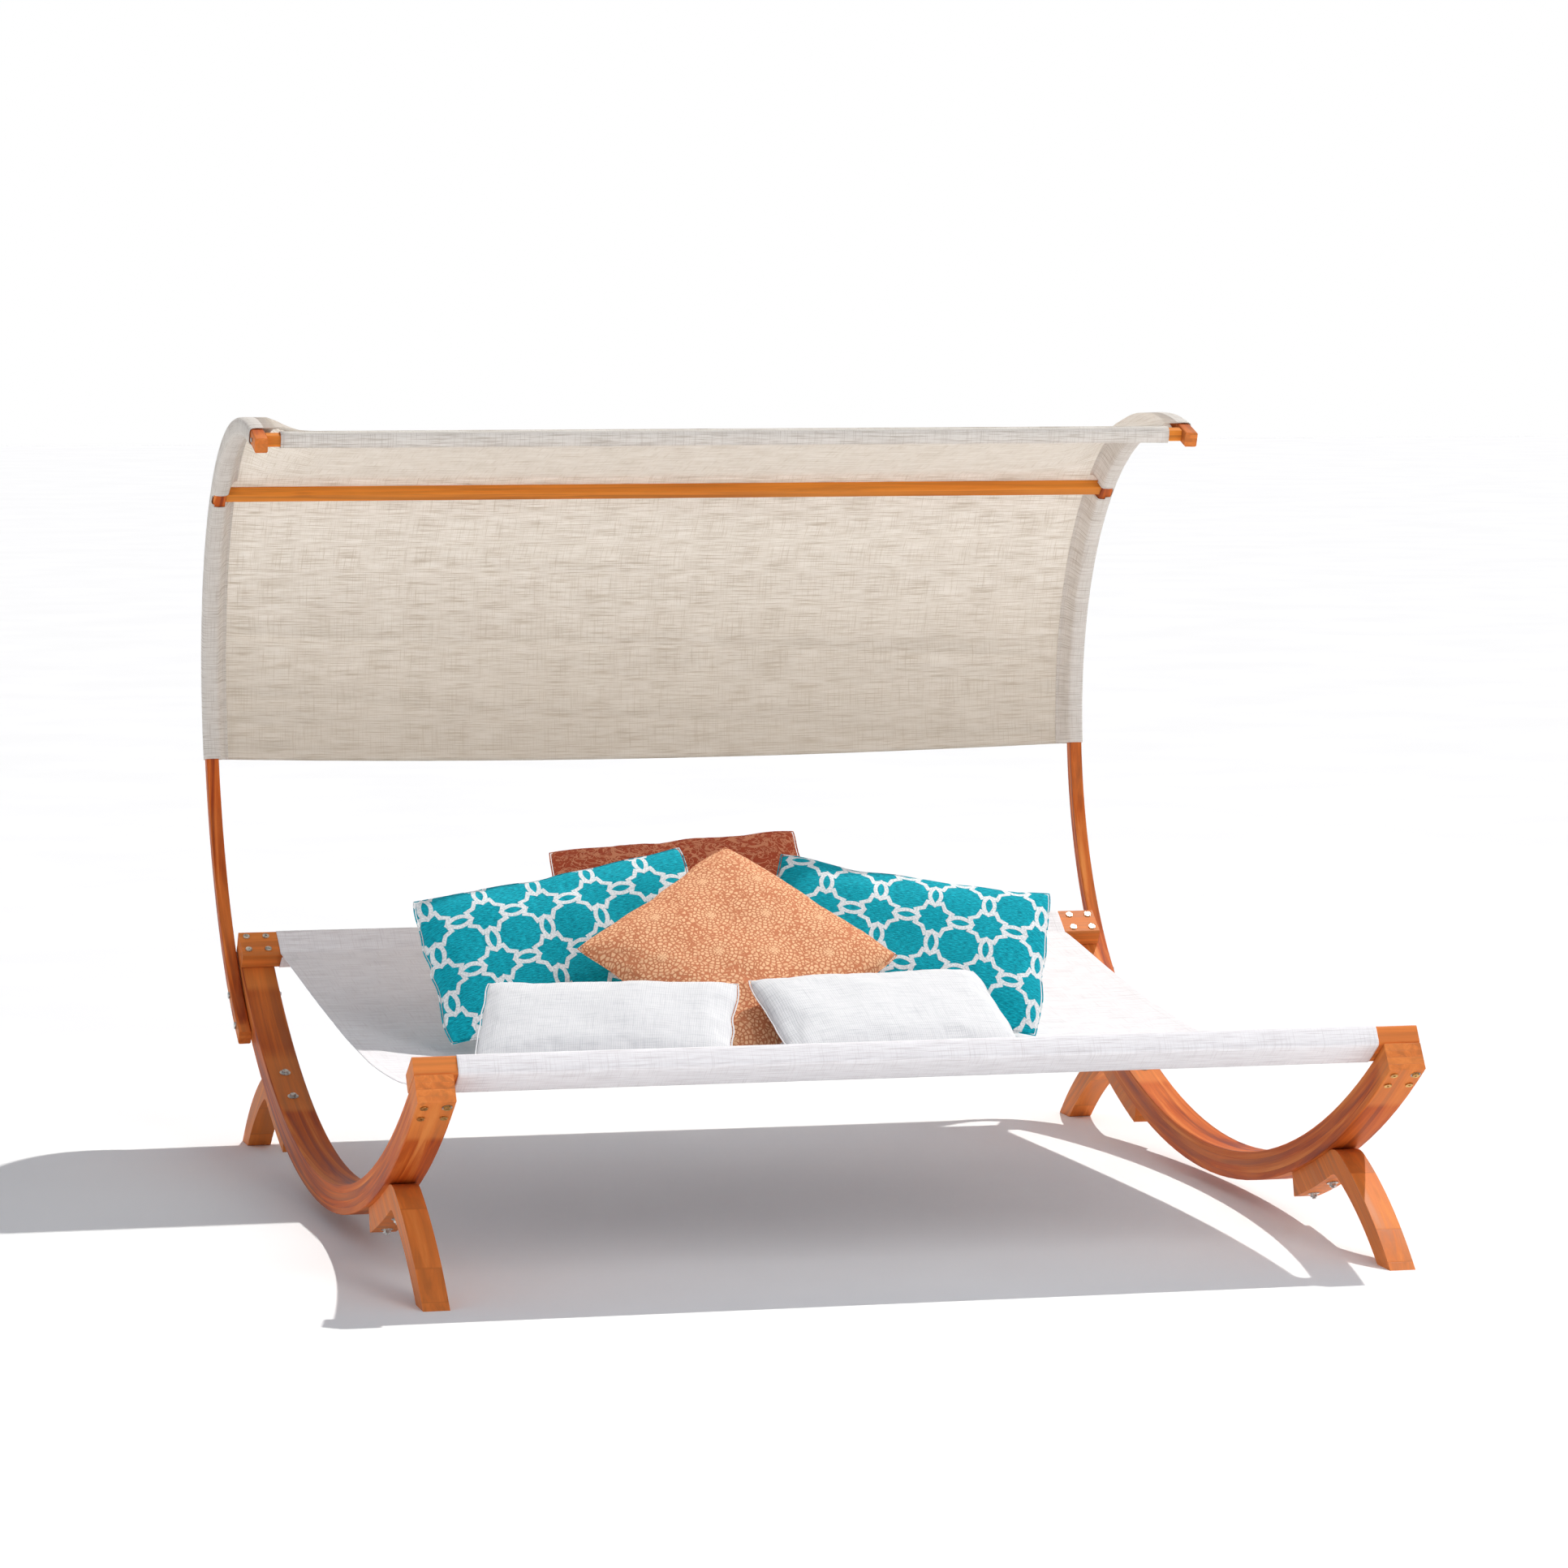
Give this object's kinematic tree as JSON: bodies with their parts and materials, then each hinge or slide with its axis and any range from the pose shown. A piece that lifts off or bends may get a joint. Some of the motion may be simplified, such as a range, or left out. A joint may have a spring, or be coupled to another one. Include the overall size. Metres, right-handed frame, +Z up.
{
  "type": "canopy daybed",
  "caption": "Wooden garden daybed with curved laminated sides, a hammock-like cloth sling, a curved cloth canopy and loose scatter cushions.",
  "frame": {"origin": "on the floor under the middle of the whole piece", "axes": "+Z up; +X to the sitter's left seen from the sitter, the viewer's right seen from the front; +Y from the front rail towards the canopy at the back"},
  "size_m": [2.1056, 2.5125, 1.6427],
  "materials": {
    "timber": "oiled laminated larch, satin",
    "sling_fabric": "cream slub weave",
    "canopy_fabric": "cream slub weave",
    "white_fabric": "off-white linen weave",
    "peach_fabric": "peach weave with darker medallions",
    "teal_fabric": "teal chenille with a pale lattice",
    "rust_fabric": "rust weave with a tan floral damask",
    "yellow_zinc": "yellow zinc plating",
    "bright_zinc": "bright zinc plating"
  },
  "bodies": {
    "frame": {"side_arc_left": "timber", "side_arc_right": "timber", "front_leg_left": "timber", "front_leg_right": "timber", "rear_leg_left": "timber", "rear_leg_right": "timber", "front_rail": "timber", "rear_rail": "timber", "canopy_post_left": "timber", "canopy_post_right": "timber", "canopy_mid_crossbar": "timber", "canopy_front_crossbar": "timber", "sling_cloth": "sling_fabric", "canopy_cloth": "canopy_fabric", "leg_bolts": "bright_zinc", "leg_bolt_washers": "bright_zinc", "leg_bolt_nuts": "bright_zinc", "rail_bolts": "bright_zinc", "rail_sleeve_nuts": "yellow_zinc", "rail_washers": "bright_zinc", "post_bolts": "bright_zinc", "post_bolt_washers": "bright_zinc", "post_bolt_nuts": "bright_zinc", "crossbar_screws": "bright_zinc"},
    "cushion_white_left": {"cushion_white_left": "white_fabric"},
    "cushion_white_right": {"cushion_white_right": "white_fabric"},
    "cushion_peach": {"cushion_peach": "peach_fabric"},
    "cushion_teal_left": {"cushion_teal_left": "teal_fabric"},
    "cushion_teal_right": {"cushion_teal_right": "teal_fabric"},
    "cushion_rust": {"cushion_rust": "rust_fabric"}
  },
  "joints": [
    {"name": "white_left_lift", "type": "slide", "parent": "frame", "child": "cushion_white_left", "axis": [0, 0, 1], "range_m": [0, 0.25]},
    {"name": "white_right_lift", "type": "slide", "parent": "frame", "child": "cushion_white_right", "axis": [0, 0, 1], "range_m": [0, 0.25]},
    {"name": "peach_lift", "type": "slide", "parent": "frame", "child": "cushion_peach", "axis": [0, 0.6, 0.8], "range_m": [0, 0.25]},
    {"name": "teal_left_lift", "type": "slide", "parent": "frame", "child": "cushion_teal_left", "axis": [0, 0.4983, 0.867], "range_m": [0, 0.25]},
    {"name": "teal_right_lift", "type": "slide", "parent": "frame", "child": "cushion_teal_right", "axis": [0, 0.4983, 0.867], "range_m": [0, 0.25]},
    {"name": "rust_lift", "type": "slide", "parent": "frame", "child": "cushion_rust", "axis": [0, 0.9659, 0.2589], "range_m": [0, 0.25]}
  ]
}
